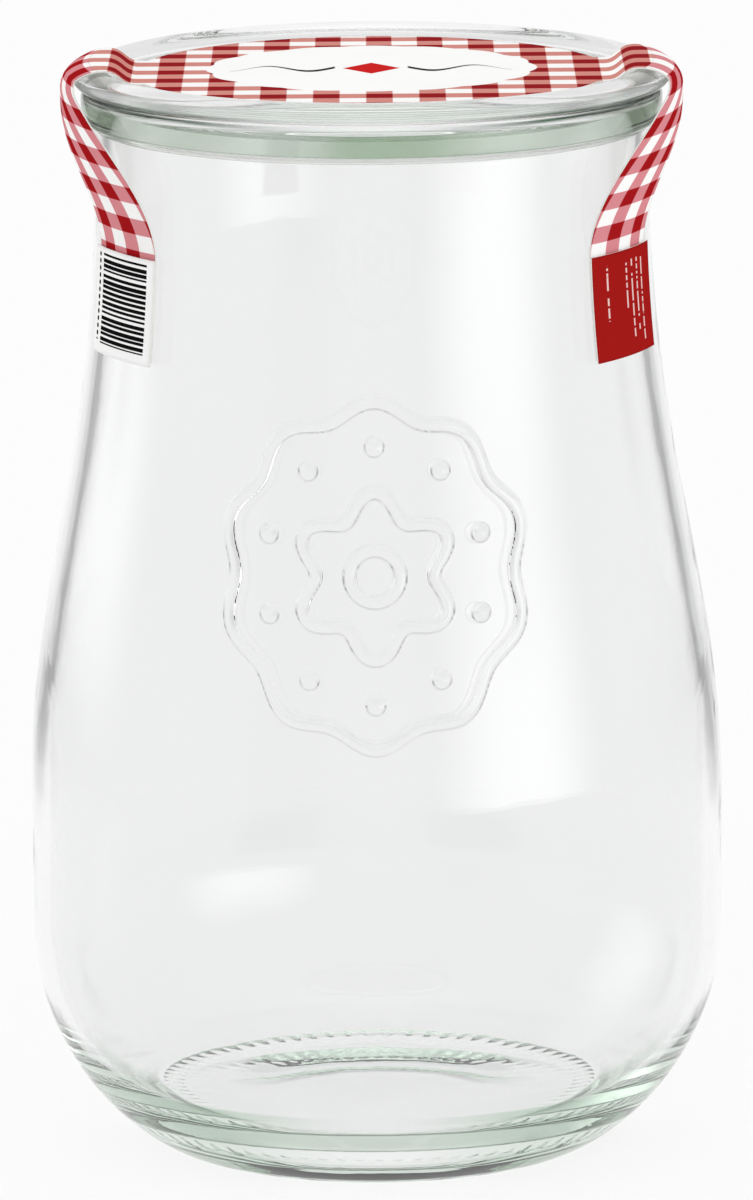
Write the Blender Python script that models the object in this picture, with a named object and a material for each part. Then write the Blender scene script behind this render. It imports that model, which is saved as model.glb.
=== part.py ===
"""A glass canning jar with its loose glass lid and the paper band that seals the lid to the neck.

Metres, +Z up. The origin is the centre of the ring that the jar stands on. The moulded medallion
and the leaning ends of the band face -Y.
"""

import math

import bmesh
import bpy
from mathutils import Matrix

# Glass body: radii are of the outer surface, heights are above the ground
WALL = 0.0032
FOOT_RADIUS = 0.0429
FOOT_RING_WIDTH = 0.0059
BELLY_RADIUS = 0.06345
NECK_RADIUS = 0.0504
RIM_HEIGHT = 0.1940
HEEL_HEIGHT = 0.0380
BELLY_LENGTH = 0.0273
NECK_LENGTH = 0.0120

# How far each end of a curved stretch of the wall keeps its direction
HEEL_SPREAD = 0.0120
HEEL_RISE = 0.0074
HEEL_TOP_PULL = 0.0152
SHOULDER_LOW_PULL = 0.0351
SHOULDER_HIGH_PULL = 0.0472

# Base of the glass body
PUSH_UP = 0.0022
PUSH_UP_RUN = 0.0300
FLOOR_THICKNESS = 0.0040
FLOOR_RADIUS = 0.0360
FLOOR_PULL = 0.0130
INNER_HEEL_PULL = 0.0180

# Bead round the rim
BEAD_STAND_OUT = 0.0022
BEAD_HEIGHT = 0.0060
BEAD_TOP_ROUND = 0.0018
BEAD_UNDER_ROUND = 0.0010
MOUTH_ROUND = 0.0010

# Lid
SEAT_GAP = 0.0003
LID_OVERHANG = 0.0014
LID_HEIGHT = 0.0037
LID_EDGE_ROUND = 0.0013
CREST_INSET = 0.0040
RECESS_DEPTH = 0.0024
RECESS_SLOPE_RUN = 0.0054
PLUG_CLEARANCE = 0.0006
PLUG_DEPTH = 0.0037
PLUG_ROUND = 0.0010

# Paper band
PAPER = 0.0003
PAPER_GAP = 0.0003
DISC_MARGIN = 0.0016
ARM_WIDTH = 0.0288
ARM_END_WIDTH = 0.0205
ARM_STAND_OFF = 0.0020
FOLD_INSET = 0.0011
FOLD_GAP = 0.0003
ARM_LEAN_DEGREES = 29.5
LEAN_EASE = 2.2
HANG_EASE = 1.25
LABEL_DROP = 0.0265
LABEL_LENGTH = 0.0190
LABEL_WIDTH = 0.0215
LABEL_END_MARGIN = 0.0004

# Hinge axis of each arm of the band, inside and above its fold
AXIS_INSET = 0.0009
AXIS_RISE = 0.0021

# Medallion moulded on the front of the glass body
MEDALLION_HEIGHT = 0.1150
MEDALLION_HALF_WIDTH = 0.0266
MEDALLION_HALF_HEIGHT = 0.0290
SCALLOPS = 10
SCALLOP_DEPTH = 0.0012
ROSETTE_RADIUS = 0.0125
ROSETTE_PETALS = 6
ROSETTE_PETAL_DEPTH = 0.0020
EYE_RADIUS = 0.0045
STUD_RING_INSET = 0.0066
STUD_RADIUS = 0.0017
STUD_DEPTH = 0.0012
RIDGE_WIDTH = 0.0022
RIDGE_HEIGHT = 0.0006

# Colours and roughnesses
GLASS_COLOUR = (0.90, 0.95, 0.92)
GLASS_ROUGHNESS = 0.02
GINGHAM_COLOUR = (0.78, 0.25, 0.26)
WHITE_COLOUR = (0.93, 0.93, 0.92)
RED_COLOUR = (0.62, 0.03, 0.05)
PAPER_ROUGHNESS = 0.55

# Facets
ROUND_STEPS = 60
CURVE_STEPS = 9
CREST_STEPS = 6
ARC_STEPS = 3
MERGE_DISTANCE = 0.00001
PAPER_COLUMNS = 6
DISC_ROWS = 12
OVER_RIM_ROWS = 9
ARM_ROWS = 12
LABEL_ROWS = 3
MEDALLION_STEPS = 80
ROSETTE_STEPS = 60
EYE_STEPS = 20
RIDGE_SIDES = 6
STUD_SEGMENTS = 8
STUD_RINGS = 6

# Sizes that follow from the ones above
BELLY_TOP = HEEL_HEIGHT + BELLY_LENGTH
BEAD_RADIUS = NECK_RADIUS + BEAD_STAND_OUT
BEAD_BOTTOM = RIM_HEIGHT - BEAD_HEIGHT
NECK_BOTTOM = BEAD_BOTTOM - NECK_LENGTH
MOUTH_RADIUS = NECK_RADIUS - WALL
INNER_BELLY_RADIUS = BELLY_RADIUS - WALL
FLOOR_HEIGHT = PUSH_UP + FLOOR_THICKNESS
LID_RADIUS = BEAD_RADIUS + LID_OVERHANG
LID_BOTTOM = RIM_HEIGHT + SEAT_GAP
CREST_HEIGHT = LID_BOTTOM + LID_HEIGHT
CREST_RADIUS = LID_RADIUS - CREST_INSET
RECESS_FLOOR = CREST_HEIGHT - RECESS_DEPTH
RECESS_RADIUS = CREST_RADIUS - RECESS_SLOPE_RUN
PLUG_RADIUS = MOUTH_RADIUS - PLUG_CLEARANCE
PLUG_BOTTOM = LID_BOTTOM - PLUG_DEPTH
DISC_RADIUS = RECESS_RADIUS - DISC_MARGIN
ARM_SIDE_RADIUS = LID_RADIUS + ARM_STAND_OFF
FOLD_RADIUS = ARM_SIDE_RADIUS - FOLD_INSET
LABEL_TOP = RIM_HEIGHT - LABEL_DROP
LABEL_BOTTOM = LABEL_TOP - LABEL_LENGTH


def cubic(start, pull_start, pull_end, end, steps=CURVE_STEPS):
    """Points of a cubic curve after its start, as (radius, height) pairs."""
    points = []
    for step in range(1, steps + 1):
        t = step / steps
        weights = ((1 - t) ** 3, 3 * (1 - t) ** 2 * t, 3 * (1 - t) * t ** 2, t ** 3)
        corners = (start, pull_start, pull_end, end)
        points.append(tuple(sum(w * c[axis] for w, c in zip(weights, corners)) for axis in (0, 1)))
    return points


def arc(centre, radius, start_degrees, end_degrees, steps=ARC_STEPS):
    """Points of an arc, both ends included; 0 degrees points outward and 90 degrees up."""
    points = []
    for step in range(steps + 1):
        angle = math.radians(start_degrees + (end_degrees - start_degrees) * step / steps)
        points.append((centre[0] + radius * math.cos(angle), centre[1] + radius * math.sin(angle)))
    return points


def inner_wall():
    """The inside of the body, from the middle of the floor up to the rim."""
    points = [(0.0, FLOOR_HEIGHT), (FLOOR_RADIUS, FLOOR_HEIGHT)]
    points += cubic(points[-1],
                    (FLOOR_RADIUS + FLOOR_PULL, FLOOR_HEIGHT),
                    (INNER_BELLY_RADIUS, HEEL_HEIGHT - INNER_HEEL_PULL),
                    (INNER_BELLY_RADIUS, HEEL_HEIGHT))
    points.append((INNER_BELLY_RADIUS, BELLY_TOP))
    points += cubic(points[-1],
                    (INNER_BELLY_RADIUS, BELLY_TOP + SHOULDER_LOW_PULL),
                    (MOUTH_RADIUS, NECK_BOTTOM - SHOULDER_HIGH_PULL),
                    (MOUTH_RADIUS, NECK_BOTTOM))
    return points


def rim():
    """The mouth's edge, the bead and the fillet under it, from the inside over to the neck."""
    fillet = BEAD_STAND_OUT - BEAD_UNDER_ROUND
    points = arc((MOUTH_RADIUS + MOUTH_ROUND, RIM_HEIGHT - MOUTH_ROUND), MOUTH_ROUND, 180, 90)
    points += arc((BEAD_RADIUS - BEAD_TOP_ROUND, RIM_HEIGHT - BEAD_TOP_ROUND), BEAD_TOP_ROUND, 90, 0)
    points += arc((BEAD_RADIUS - BEAD_UNDER_ROUND, BEAD_BOTTOM + BEAD_UNDER_ROUND),
                  BEAD_UNDER_ROUND, 0, -90)
    return points + arc((NECK_RADIUS + fillet, BEAD_BOTTOM - fillet), fillet, 90, 180)[1:]


def outer_wall():
    """The outside of the body, from the top of the plain neck down to the foot."""
    points = [(NECK_RADIUS, NECK_BOTTOM)]
    points += cubic(points[-1],
                    (NECK_RADIUS, NECK_BOTTOM - SHOULDER_HIGH_PULL),
                    (BELLY_RADIUS, BELLY_TOP + SHOULDER_LOW_PULL),
                    (BELLY_RADIUS, BELLY_TOP))
    points.append((BELLY_RADIUS, HEEL_HEIGHT))
    points += cubic(points[-1],
                    (BELLY_RADIUS, HEEL_HEIGHT - HEEL_TOP_PULL),
                    (FOOT_RADIUS + HEEL_SPREAD, HEEL_RISE),
                    (FOOT_RADIUS, 0.0))
    return points


def underside():
    """The hollow inside the foot ring, from the ring's inner edge to the middle."""
    ring_inside = FOOT_RADIUS - FOOT_RING_WIDTH
    half_run = PUSH_UP_RUN / 2
    points = [(ring_inside, 0.0)]
    points += cubic(points[-1],
                    (ring_inside - half_run, 0.0),
                    (ring_inside - half_run, PUSH_UP),
                    (ring_inside - PUSH_UP_RUN, PUSH_UP))
    return points + [(0.0, PUSH_UP)]


def lid_top():
    """The lid's top, from the middle of its recess over the crest to its widest edge."""
    edge_height = LID_BOTTOM + LID_EDGE_ROUND
    half_run = RECESS_SLOPE_RUN / 2
    points = [(0.0, RECESS_FLOOR), (RECESS_RADIUS, RECESS_FLOOR)]
    points += cubic(points[-1],
                    (RECESS_RADIUS + half_run, RECESS_FLOOR),
                    (CREST_RADIUS - half_run, CREST_HEIGHT),
                    (CREST_RADIUS, CREST_HEIGHT), steps=CREST_STEPS)
    middle = ((CREST_RADIUS + LID_RADIUS) / 2, (CREST_HEIGHT + edge_height) / 2)
    points += cubic(points[-1],
                    (middle[0], CREST_HEIGHT),
                    (LID_RADIUS, middle[1]),
                    (LID_RADIUS, edge_height), steps=CREST_STEPS)
    return points


def lid_underside():
    """The lid's lower edge, its seat and the plug that drops into the mouth."""
    points = arc((LID_RADIUS - LID_EDGE_ROUND, LID_BOTTOM + LID_EDGE_ROUND), LID_EDGE_ROUND, 0, -90)[1:]
    points.append((PLUG_RADIUS, LID_BOTTOM))
    points += arc((PLUG_RADIUS - PLUG_ROUND, PLUG_BOTTOM + PLUG_ROUND), PLUG_ROUND, 0, -90)
    return points + [(0.0, PLUG_BOTTOM)]


def between(pairs, value):
    """Straight-line reading of a list of (position, result) pairs in rising order of position."""
    for (low, low_result), (high, high_result) in zip(pairs, pairs[1:]):
        if value <= high:
            return low_result + (high_result - low_result) * (value - low) / (high - low)
    return pairs[-1][1]


def wall_radius(height):
    """Outer radius of the glass body below its bead."""
    rising = [(z, r) for r, z in reversed(outer_wall())]
    return between(rising + [(BEAD_BOTTOM, NECK_RADIUS)], height)


def material(name, colour, roughness, transmission=0.0):
    made = bpy.data.materials.new(name)
    made.use_nodes = True
    shader = made.node_tree.nodes["Principled BSDF"]
    shader.inputs["Base Color"].default_value = (*colour, 1.0)
    shader.inputs["Roughness"].default_value = roughness
    shader.inputs["Metallic"].default_value = 0.0
    shader.inputs["Transmission Weight"].default_value = transmission
    made.diffuse_color = (*colour, 1.0)
    return made


def new_object(name, mesh, finish=None, location=(0.0, 0.0, 0.0)):
    made = bpy.data.objects.new(name, mesh)
    made.location = location
    bpy.context.collection.objects.link(made)
    if finish:
        mesh.materials.append(finish)
    return made


def turned(name, profile, finish):
    """A round piece, turned about the Z axis from (radius, height) points."""
    mesh = bpy.data.meshes.new(name)
    corners = [(radius, 0.0, height) for radius, height in profile]
    mesh.from_pydata(corners, [(i, i + 1) for i in range(len(corners) - 1)], [])
    made = new_object(name, mesh, finish)
    screw = made.modifiers.new("Turn", 'SCREW')
    screw.axis = 'Z'
    screw.steps = ROUND_STEPS
    screw.render_steps = ROUND_STEPS
    screw.use_merge_vertices = True
    screw.merge_threshold = MERGE_DISTANCE
    screw.use_smooth_shade = True
    return made


def paper_sheet(name, rows, finish, location=(0.0, 0.0, 0.0)):
    """A sheet of paper, from rows of points on the face that lies next to the glass."""
    columns = len(rows[0])
    corners = [tuple(p - o for p, o in zip(point, location)) for row in rows for point in row]
    faces = []
    for row in range(len(rows) - 1):
        for column in range(columns - 1):
            first = row * columns + column
            faces.append((first, first + 1, first + columns + 1, first + columns))
    mesh = bpy.data.meshes.new(name)
    mesh.from_pydata(corners, [], faces)
    mesh.shade_smooth()
    made = new_object(name, mesh, finish, location)
    thickness = made.modifiers.new("Paper", 'SOLIDIFY')
    thickness.thickness = PAPER
    thickness.offset = 1.0
    thickness.use_even_offset = True
    return made


def band_height(x, y):
    """Height of the band's lower face above a point of the lid."""
    top = lid_top()
    half_width = ARM_WIDTH / 2
    radius = math.hypot(x, y)
    if radius > CREST_RADIUS:
        return over_edge_height(radius)
    highest_under_line = between(top, min(CREST_RADIUS, math.hypot(x, half_width)))
    return highest_under_line + PAPER_GAP


def over_edge_height(radius):
    """Height of the band where it curves out past the crest, as a quarter of an ellipse."""
    crest = CREST_HEIGHT + PAPER_GAP
    share = (radius - CREST_RADIUS) / (ARM_SIDE_RADIUS - CREST_RADIUS)
    return RIM_HEIGHT + (crest - RIM_HEIGHT) * math.sqrt(1 - share ** 2)


def over_edge_radius(height):
    """The same quarter ellipse, read by height."""
    crest = CREST_HEIGHT + PAPER_GAP
    share = (height - RIM_HEIGHT) / (crest - RIM_HEIGHT)
    return CREST_RADIUS + (ARM_SIDE_RADIUS - CREST_RADIUS) * math.sqrt(1 - share ** 2)


FOLD_HEIGHT = over_edge_height(FOLD_RADIUS)
ARM_AXIS = (FOLD_RADIUS - AXIS_INSET, 0.0, FOLD_HEIGHT + AXIS_RISE)


def arm_radius(height):
    """Radius of the face of an arm that lies towards the glass."""
    if height > RIM_HEIGHT:
        return over_edge_radius(height)
    on_neck = wall_radius(height) + PAPER_GAP
    if height <= LABEL_TOP:
        return on_neck
    share = ((RIM_HEIGHT - height) / (RIM_HEIGHT - LABEL_TOP)) ** HANG_EASE
    ease = share * share * (3 - 2 * share)
    return ARM_SIDE_RADIUS + (wall_radius(LABEL_TOP) + PAPER_GAP - ARM_SIDE_RADIUS) * ease


def arm_lean(height):
    """How far the middle of an arm has turned towards the front, in radians."""
    share = min(1.0, (FOLD_HEIGHT - height) / (FOLD_HEIGHT - LABEL_TOP))
    return math.radians(ARM_LEAN_DEGREES) * (1 - (1 - share) ** LEAN_EASE)


def arm_width(height):
    share = min(1.0, (FOLD_HEIGHT - height) / (FOLD_HEIGHT - LABEL_TOP))
    return ARM_END_WIDTH + (ARM_WIDTH - ARM_END_WIDTH) * (1 - share) ** 2


def curved_row(side, radius, height, width, lean):
    """One level row of paper round the jar's axis, from the back edge to the front edge."""
    row = []
    for column in range(PAPER_COLUMNS + 1):
        across = (column / PAPER_COLUMNS - 0.5) * width / radius
        angle = -(lean + across)
        row.append((side * radius * math.cos(angle), radius * math.sin(angle), height))
    return row if side > 0 else row[::-1]


def make_jar_body(finish):
    profile = inner_wall() + rim() + outer_wall() + underside()
    body = turned("jar_body", profile, finish)
    for relief in (scalloped_ridge(), rosette_ridge(), eye_ridge(), ring_of_studs()):
        union = body.modifiers.new("Moulded " + relief.name, 'BOOLEAN')
        union.operation = 'UNION'
        union.object = relief
    return body


def relief_guide(name, shape):
    """A shape that the wall takes in, not shown by itself."""
    mesh = bpy.data.meshes.new(name)
    shape.to_mesh(mesh)
    shape.free()
    mesh.shade_smooth()
    guide = new_object(name, mesh)
    guide.hide_render = True
    guide.display_type = 'WIRE'
    return guide


def ridge_guide(name, outline, steps):
    """A closed tube along a line on the front wall, sunk so that only a low ridge stands out."""
    half_width = RIDGE_WIDTH / 2
    tube_radius = (half_width ** 2 + RIDGE_HEIGHT ** 2) / (2 * RIDGE_HEIGHT)
    sink = tube_radius - RIDGE_HEIGHT
    shape = bmesh.new()
    rings = []
    for step in range(steps):
        across, up = outline(2 * math.pi * step / steps)
        ahead = outline(2 * math.pi * (step + 1) / steps)
        behind = outline(2 * math.pi * (step - 1) / steps)
        length = math.hypot(ahead[0] - behind[0], ahead[1] - behind[1])
        side = ((ahead[1] - behind[1]) / length, (behind[0] - ahead[0]) / length)
        ring = []
        for corner in range(RIDGE_SIDES):
            angle = 2 * math.pi * (corner + 0.5) / RIDGE_SIDES
            spread = tube_radius * math.cos(angle)
            height = MEDALLION_HEIGHT + up + side[1] * spread
            radius = wall_radius(MEDALLION_HEIGHT + up) - sink + tube_radius * math.sin(angle)
            turn = (across + side[0] * spread) / wall_radius(MEDALLION_HEIGHT + up)
            ring.append(shape.verts.new((radius * math.sin(turn), -radius * math.cos(turn), height)))
        rings.append(ring)
    for step, ring in enumerate(rings):
        following = rings[(step + 1) % steps]
        for corner in range(RIDGE_SIDES):
            after = (corner + 1) % RIDGE_SIDES
            shape.faces.new((ring[corner], ring[after], following[after], following[corner]))
    bmesh.ops.recalc_face_normals(shape, faces=shape.faces)
    return relief_guide(name, shape)


def scalloped_ridge():
    def outline(angle):
        wave = SCALLOP_DEPTH * math.cos(SCALLOPS * angle)
        return ((MEDALLION_HALF_WIDTH + wave) * math.sin(angle),
                (MEDALLION_HALF_HEIGHT + wave) * math.cos(angle))
    return ridge_guide("scalloped_ridge", outline, MEDALLION_STEPS)


def rosette_ridge():
    def outline(angle):
        radius = ROSETTE_RADIUS + ROSETTE_PETAL_DEPTH * math.cos(ROSETTE_PETALS * angle)
        return radius * math.sin(angle), radius * math.cos(angle)
    return ridge_guide("rosette_ridge", outline, ROSETTE_STEPS)


def eye_ridge():
    def outline(angle):
        return EYE_RADIUS * math.sin(angle), EYE_RADIUS * math.cos(angle)
    return ridge_guide("eye_ridge", outline, EYE_STEPS)


def ring_of_studs():
    """Low round studs between the rosette and the scalloped ridge, one in each scallop."""
    shape = bmesh.new()
    for stud in range(SCALLOPS):
        angle = 2 * math.pi * stud / SCALLOPS
        height = MEDALLION_HEIGHT + (MEDALLION_HALF_HEIGHT - STUD_RING_INSET) * math.cos(angle)
        radius = wall_radius(height) - (STUD_DEPTH - RIDGE_HEIGHT)
        turn = (MEDALLION_HALF_WIDTH - STUD_RING_INSET) * math.sin(angle) / wall_radius(height)
        place = (Matrix.Rotation(turn, 4, 'Z') @ Matrix.Translation((0.0, -radius, height))
                 @ Matrix.Diagonal((STUD_RADIUS, STUD_DEPTH, STUD_RADIUS, 1.0)))
        bmesh.ops.create_uvsphere(shape, u_segments=STUD_SEGMENTS, v_segments=STUD_RINGS,
                                  radius=1.0, matrix=place)
    return relief_guide("ring_of_studs", shape)


def make_lid(finish):
    return turned("lid", lid_top() + lid_underside(), finish)


def make_band_top(finish):
    """The disc in the lid's recess with the two strips that run from it over the lid's edge."""
    half_width = ARM_WIDTH / 2
    join = math.sqrt(DISC_RADIUS ** 2 - half_width ** 2)
    strip_end = FOLD_RADIUS - FOLD_GAP
    rows = []
    for step in range(1, OVER_RIM_ROWS + 1):
        share = step / OVER_RIM_ROWS
        row = []
        for column in range(PAPER_COLUMNS + 1):
            y = (2 * column / PAPER_COLUMNS - 1) * half_width
            x = join + share * (math.sqrt(strip_end ** 2 - y ** 2) - join)
            row.append((x, y, band_height(x, y)))
        rows.append(row)
    half_turn = math.acos(join / DISC_RADIUS)
    disc = []
    for step in range(DISC_ROWS + 1):
        angle = half_turn + (math.pi - 2 * half_turn) * step / DISC_ROWS
        x, edge = DISC_RADIUS * math.cos(angle), DISC_RADIUS * math.sin(angle)
        height = RECESS_FLOOR + PAPER_GAP
        disc.append([(x, (2 * column / PAPER_COLUMNS - 1) * edge, height)
                     for column in range(PAPER_COLUMNS + 1)])
    far_side = [[(-x, y, z) for x, y, z in row] for row in rows]
    return paper_sheet("band_top", rows[::-1] + disc + far_side, finish)


def make_band_arm(name, side, finish):
    """One arm of the band, from its fold at the lid's edge down to its end on the neck."""
    rows = []
    for step in range(ARM_ROWS + 1):
        height = FOLD_HEIGHT + (LABEL_TOP - FOLD_HEIGHT) * step / ARM_ROWS
        rows.append(curved_row(side, arm_radius(height), height, arm_width(height), arm_lean(height)))
    end = LABEL_BOTTOM + LABEL_END_MARGIN
    for step in range(1, LABEL_ROWS + 1):
        height = LABEL_TOP + (end - LABEL_TOP) * step / LABEL_ROWS
        rows.append(curved_row(side, arm_radius(height), height, ARM_END_WIDTH, arm_lean(height)))
    axis = (side * ARM_AXIS[0], ARM_AXIS[1], ARM_AXIS[2])
    return paper_sheet(name, rows, finish, axis)


def make_end_label(name, side, arm, finish):
    """The label glued over the end of an arm."""
    rows = []
    for step in range(LABEL_ROWS + 1):
        height = LABEL_TOP + (LABEL_BOTTOM - LABEL_TOP) * step / LABEL_ROWS
        radius = wall_radius(height) + PAPER_GAP + PAPER + PAPER_GAP
        rows.append(curved_row(side, radius, height, LABEL_WIDTH, math.radians(ARM_LEAN_DEGREES)))
    label = paper_sheet(name, rows, finish, arm.location)
    label.parent = arm
    label.location = (0.0, 0.0, 0.0)
    return label


def main():
    for old in list(bpy.data.objects):
        bpy.data.objects.remove(old, do_unlink=True)
    glass = material("clear_glass", GLASS_COLOUR, GLASS_ROUGHNESS, transmission=1.0)
    gingham = material("gingham_paper", GINGHAM_COLOUR, PAPER_ROUGHNESS)
    white = material("white_label_paper", WHITE_COLOUR, PAPER_ROUGHNESS)
    red = material("red_label_paper", RED_COLOUR, PAPER_ROUGHNESS)
    make_jar_body(glass)
    lid = make_lid(glass)
    top = make_band_top(gingham)
    top.parent = lid
    ends = (("left", -1, white), ("right", 1, red))
    for word, side, finish in ends:
        arm = make_band_arm("band_" + word + "_arm", side, gingham)
        arm.parent = lid
        make_end_label(word + "_end_label", side, arm, finish)


main()
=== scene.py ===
"""Looks of a glass canning jar with a loose lid and a gingham paper band, round its fixed frame.

Metres, +Z up, in the frame's own axes. The moulded medallion and the band's leaning ends face -Y.
An angle round the jar is 0 at the front and grows towards +X.
"""

import math

import bmesh
import bpy
import numpy as np
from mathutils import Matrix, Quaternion, Vector


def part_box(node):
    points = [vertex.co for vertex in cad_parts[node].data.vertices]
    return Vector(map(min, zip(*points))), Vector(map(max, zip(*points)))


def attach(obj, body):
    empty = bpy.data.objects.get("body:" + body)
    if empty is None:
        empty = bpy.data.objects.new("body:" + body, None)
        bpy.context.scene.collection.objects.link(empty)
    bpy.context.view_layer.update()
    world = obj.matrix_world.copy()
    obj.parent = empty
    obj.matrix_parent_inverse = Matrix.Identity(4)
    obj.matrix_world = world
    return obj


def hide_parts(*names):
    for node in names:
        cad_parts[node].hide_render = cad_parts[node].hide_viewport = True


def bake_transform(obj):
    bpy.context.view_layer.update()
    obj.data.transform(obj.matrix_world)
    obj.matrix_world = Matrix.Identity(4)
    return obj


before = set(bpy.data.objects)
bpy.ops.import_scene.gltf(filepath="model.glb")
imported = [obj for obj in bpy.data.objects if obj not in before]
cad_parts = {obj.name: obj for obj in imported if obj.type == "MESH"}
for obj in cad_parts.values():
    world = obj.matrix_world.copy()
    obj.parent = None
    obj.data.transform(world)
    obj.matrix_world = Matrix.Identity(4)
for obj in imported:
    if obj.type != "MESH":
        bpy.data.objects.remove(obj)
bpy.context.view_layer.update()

jar_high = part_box("jar_body")[1]
lid_low, lid_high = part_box("lid")
label_low, label_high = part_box("left_end_label")

# Glass body: radii are of the outer surface, heights are above the ground
BELLY_RADIUS = jar_high.x
RIM_HEIGHT = jar_high.z
WALL = 0.0032
FOOT_RADIUS = 0.0429
FOOT_RING_WIDTH = 0.0059
NECK_RADIUS = 0.0504
HEEL_HEIGHT = 0.0380
BELLY_TOP = HEEL_HEIGHT + 0.0273
HEEL_SPREAD = 0.0120
HEEL_RISE = 0.0074
HEEL_TOP_PULL = 0.0152
SHOULDER_LOW_PULL = 0.0351
SHOULDER_HIGH_PULL = 0.0472
PUSH_UP = 0.0022
PUSH_UP_RUN = 0.0300
FLOOR_HEIGHT = PUSH_UP + 0.0040
FLOOR_RADIUS = 0.0360
FLOOR_PULL = 0.0130
INNER_HEEL_PULL = 0.0180
MOUTH_RADIUS = NECK_RADIUS - WALL
INNER_BELLY_RADIUS = BELLY_RADIUS - WALL

# Bead round the rim
BEAD_STAND_OUT = 0.0022
BEAD_RADIUS = NECK_RADIUS + BEAD_STAND_OUT
BEAD_BOTTOM = RIM_HEIGHT - 0.0060
NECK_BOTTOM = BEAD_BOTTOM - 0.0120
BEAD_TOP_ROUND = 0.0018
BEAD_UNDER_ROUND = 0.0010
MOUTH_ROUND = 0.0010

# Lid
LID_RADIUS = lid_high.x
CREST_HEIGHT = lid_high.z
PLUG_BOTTOM = lid_low.z
LID_BOTTOM = RIM_HEIGHT + 0.0003
LID_EDGE_ROUND = 0.0013
CREST_RADIUS = LID_RADIUS - 0.0040
RECESS_FLOOR = CREST_HEIGHT - 0.0024
RECESS_SLOPE_RUN = 0.0054
RECESS_RADIUS = CREST_RADIUS - RECESS_SLOPE_RUN
PLUG_RADIUS = MOUTH_RADIUS - 0.0006
PLUG_ROUND = 0.0010
SEAT_FILLET = 0.0006

# Paper band
PAPER = 0.0003
PAPER_GAP = 0.0003
DISC_RADIUS = RECESS_RADIUS - 0.0016
ARM_WIDTH = 0.0288
ARM_END_WIDTH = 0.0205
ARM_SIDE_RADIUS = LID_RADIUS + 0.0020
SEAM_RADIUS = CREST_RADIUS + 0.0010
FOLD_RADIUS = ARM_SIDE_RADIUS - 0.0011
ARM_LEAN = math.radians(29.5)
LEAN_EASE = 2.7
HANG_EASE = 1.25
LABEL_TOP = label_high.z
LABEL_BOTTOM = label_low.z
LABEL_WIDTH = 0.0215
ARM_END_MARGIN = 0.0004

# Gingham print: the width of one stripe along the band, across it and down the arms
STRIPE_ALONG = 0.0047
STRIPE_ACROSS = 0.0049
STRIPE_DOWN_ARM = 0.0031
ARM_PRINT_SCALE = 1.11
ARM_PRINT_SHIFT = 0.0034
FIRST_STRIPE_ALONG = 0.0014
FIRST_STRIPE_ACROSS = -0.0006

# White plaque printed in the middle of the disc, with its ornament
PLAQUE_HALF_LENGTH = 0.0300
PLAQUE_HALF_DEPTH = 0.0278
PLAQUE_CENTRE_Y = 0.0030
PLAQUE_SCALLOPS = 16
PLAQUE_SCALLOP_DEPTH = 0.03
PLAQUE_EDGE = (0.965, 0.975)
STROKE_WAVES = 420.0
STROKE_SWING = 0.0030
STROKE_START = (0.0064, 0.0068)
STROKE_END = (0.0252, 0.0258)
STROKE_TAPER = (0.0070, 0.0260, 0.0012, 0.0001)
STROKE_SOFTNESS = 0.0002
LOZENGE_HALF_LENGTH = 0.0052
LOZENGE_HALF_DEPTH = 0.0066
LOZENGE_EDGE = (0.97, 1.03)

# Bars and dots printed on the white end label; thicknesses are shares of the pitch
BAR_PITCH = 0.00094
BAR_THICKNESSES = (0.40, 0.84)
BAR_SOFTNESS = 0.05
BARS_ACROSS = (-0.0070, 0.0088)
BARS_DOWN = (0.0008, 0.0172)
DOTS_ACROSS = -0.0086
DOTS_DOWN = (0.0010, 0.0168)
HALF_DOT_PITCH = 0.00065
DOT_EDGE = (0.00040, 0.00052)

# Broken rules printed on the red end label: place across it, and start and end down it
RULES = ((-0.0064, 0.0020, 0.0172), (-0.0043, 0.0020, 0.0150), (-0.0022, 0.0020, 0.0160),
         (-0.0001, 0.0020, 0.0110), (0.0064, 0.0020, 0.0120))
RULE_HALF_WIDTH = 0.00026
RULE_CELL = 0.00045
RULE_SHIFT = 0.13
RULE_GAPS = (0.24, 0.26)

# Medallion moulded on the front of the glass body
MEDALLION_HEIGHT = 0.1150
MEDALLION_HALF_WIDTH = 0.0266
MEDALLION_HALF_HEIGHT = 0.0290
SCALLOPS = 10
SCALLOP_DEPTH = 0.0012
ROSETTE_RADIUS = 0.0125
ROSETTE_PETALS = 6
ROSETTE_PETAL_DEPTH = 0.0020
EYE_RADIUS = 0.0045
STUD_RING_INSET = 0.0066
STUD_RADIUS = 0.0017
STUD_DEPTH = 0.0012
RIDGE_WIDTH = 0.0022
RIDGE_HEIGHT = 0.0006
MEDALLION_MARGIN = 0.0030
LINE_STEPS = 360
EDGE_RUN = 0.00025
EDGE_RISE = 0.00040
FAR_OFF = (1.0, 1.0, 0.0)
LEAST_SHARE = 0.01

# Short radial bars under the foot ring
FOOT_BARS = 72
FOOT_BAR_DEPTH = 0.00015
FOOT_BAR_INSET = 0.0010
FOOT_BAR_SLOPE = 0.6

# Fineness of the meshes
FINE_STEP = math.radians(0.45)
COARSE_STEP = math.radians(2.5)
FINE_REACH = math.radians(28.0)
COARSE_FROM = math.radians(60.0)
ROUND_STEPS = 180
FOOT_STEPS = 6 * FOOT_BARS
SHOULDER_STEPS = 190
HEEL_STEPS = 30
INNER_STEPS = 28
FLOOR_STEPS = 8
BELLY_STEPS = 6
STRAIGHT_STEPS = 4
FOOT_RING_STEPS = 12
FLAT_STEPS = 10
ARC_STEPS = 7
DOME_STEPS = 20
PAPER_COLUMNS = 24
TRAVEL_STEPS = 60
STRIP_ROWS = 24
DISC_ROWS = 49
FOLD_ROWS = 15
ARM_ROWS = 72
LABEL_ROWS = 25

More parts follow.
